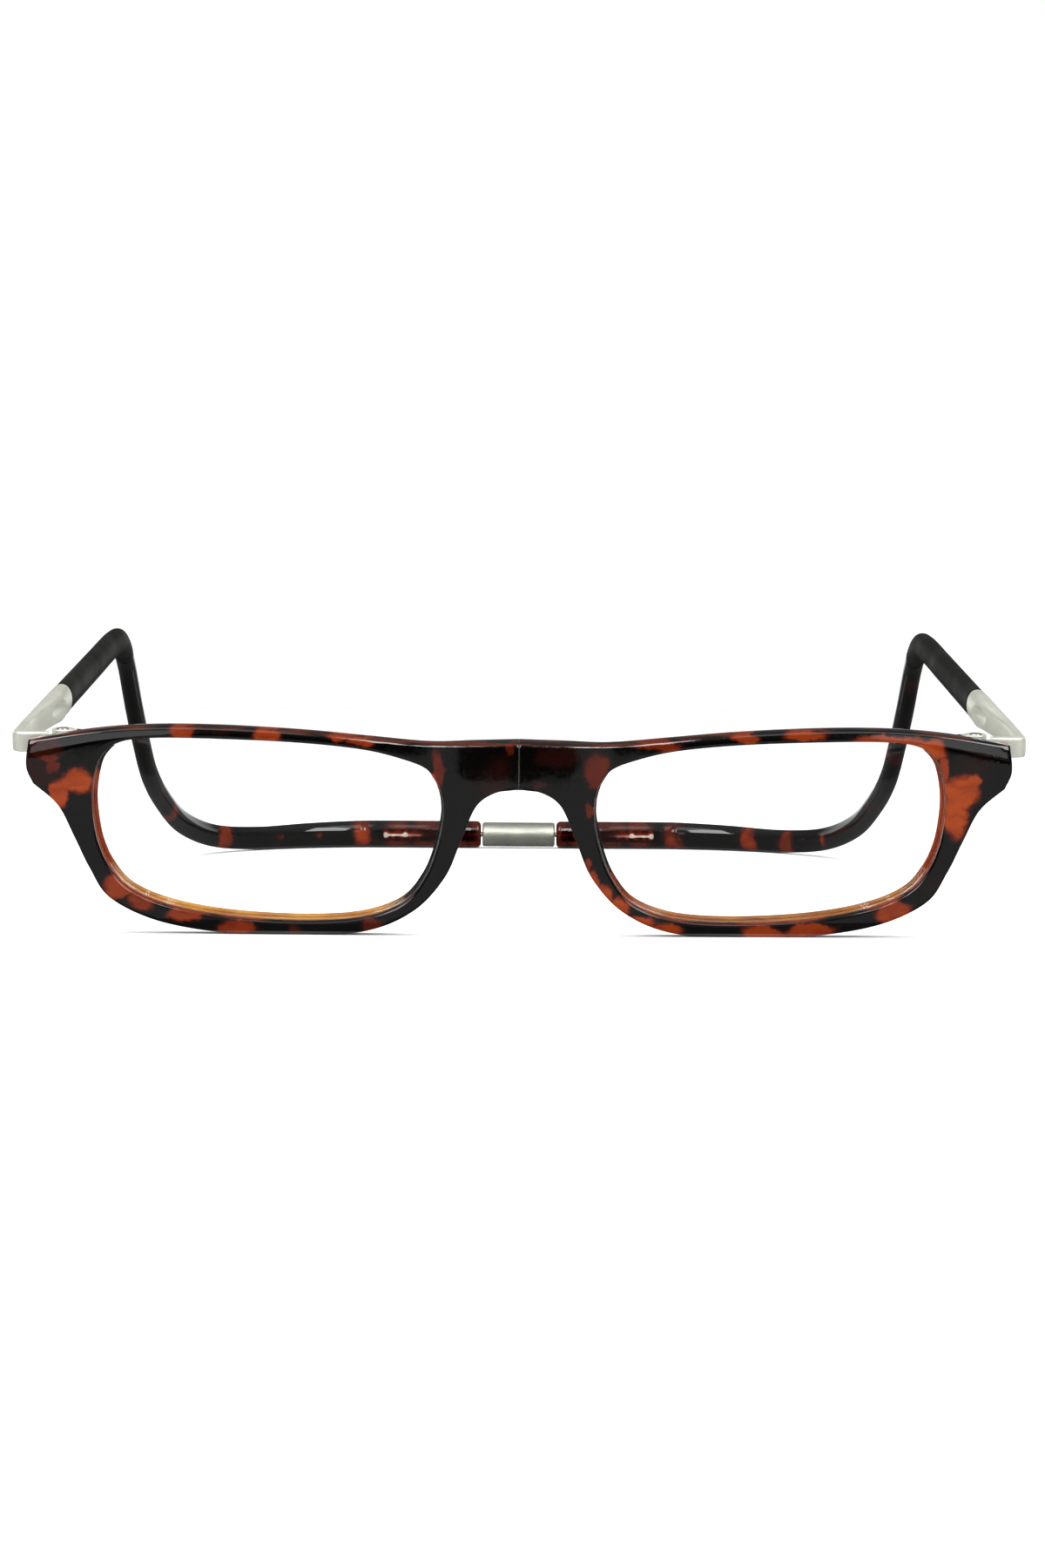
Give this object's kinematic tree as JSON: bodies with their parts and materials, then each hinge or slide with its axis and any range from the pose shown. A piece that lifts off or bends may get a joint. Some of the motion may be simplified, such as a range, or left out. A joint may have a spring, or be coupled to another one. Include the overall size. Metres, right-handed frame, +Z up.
{
  "type": "folding reading glasses",
  "caption": "Front-connect reading glasses: magnetic split bridge, tortoise half-fronts on hinged sliding elbows, soft temple sleeves and a sprung neck band.",
  "frame": {"origin": "centre of the glasses' base on the surface that they stand on, which touches the lower edges of the rims and the neck band", "axes": "+X towards the wearer's left, -Y the way the lenses face, +Y towards the neck band, +Z up"},
  "size_m": [0.1488, 0.2028, 0.0451],
  "materials": {
    "tortoise_acetate": "polished tortoiseshell plastic, near-black brown with orange-red patches",
    "tortoise_band": "polished flexible tortoiseshell plastic, translucent red-brown",
    "clear_lens": "clear polished reading lens",
    "satin_nickel": "satin champagne nickel",
    "steel": "bright steel",
    "magnet": "nickel-plated magnet",
    "soft_touch_black": "matt soft-touch black"
  },
  "bodies": {
    "expander": {"expander_tube": "satin_nickel", "expander_rod_left": "steel", "expander_spring_left": "steel", "expander_rod_right": "steel", "expander_spring_right": "steel"},
    "band_left": {"neck_band_left": "tortoise_band", "temple_sleeve_left": "soft_touch_black", "expander_bush_left": "steel"},
    "temple_left": {"temple_elbow_left": "satin_nickel", "slide_tongue_left": "steel"},
    "front_left": {"rim_left": "tortoise_acetate", "lens_left": "clear_lens", "bridge_magnet_left": "magnet", "hinge_leaf_left": "satin_nickel", "hinge_screw_left": "steel", "leaf_rivet_upper_left": "steel", "leaf_rivet_lower_left": "steel"},
    "band_right": {"neck_band_right": "tortoise_band", "temple_sleeve_right": "soft_touch_black", "expander_bush_right": "steel"},
    "temple_right": {"temple_elbow_right": "satin_nickel", "slide_tongue_right": "steel"},
    "front_right": {"rim_right": "tortoise_acetate", "lens_right": "clear_lens", "bridge_magnet_right": "magnet", "hinge_leaf_right": "satin_nickel", "hinge_screw_right": "steel", "leaf_rivet_upper_right": "steel", "leaf_rivet_lower_right": "steel"}
  },
  "joints": [
    {"name": "band_slide_left", "type": "slide", "parent": "expander", "child": "band_left", "axis": [1, 0, 0], "range_m": [0, 0.01], "stiffness_N_per_m": 60, "springref_m": -0.004, "deforming": ["expander_spring_left"]},
    {"name": "temple_slide_left", "type": "slide", "parent": "band_left", "child": "temple_left", "axis": [0.0219, -0.9853, -0.1695], "range_m": [0, 0.01]},
    {"name": "front_hinge_left", "type": "hinge", "parent": "temple_left", "child": "front_left", "pos_m": [0.067, -0.09426, 0.02972], "axis": [0, 0.1356, -0.9908], "range_deg": [0, 90]},
    {"name": "band_slide_right", "type": "slide", "parent": "expander", "child": "band_right", "axis": [-1, 0, 0], "range_m": [0, 0.01], "stiffness_N_per_m": 60, "springref_m": -0.004, "deforming": ["expander_spring_right"]},
    {"name": "temple_slide_right", "type": "slide", "parent": "band_right", "child": "temple_right", "axis": [-0.0219, -0.9853, -0.1695], "range_m": [0, 0.01]},
    {"name": "front_hinge_right", "type": "hinge", "parent": "temple_right", "child": "front_right", "pos_m": [-0.067, -0.09426, 0.02972], "axis": [0, -0.1356, 0.9908], "range_deg": [0, 90]}
  ]
}
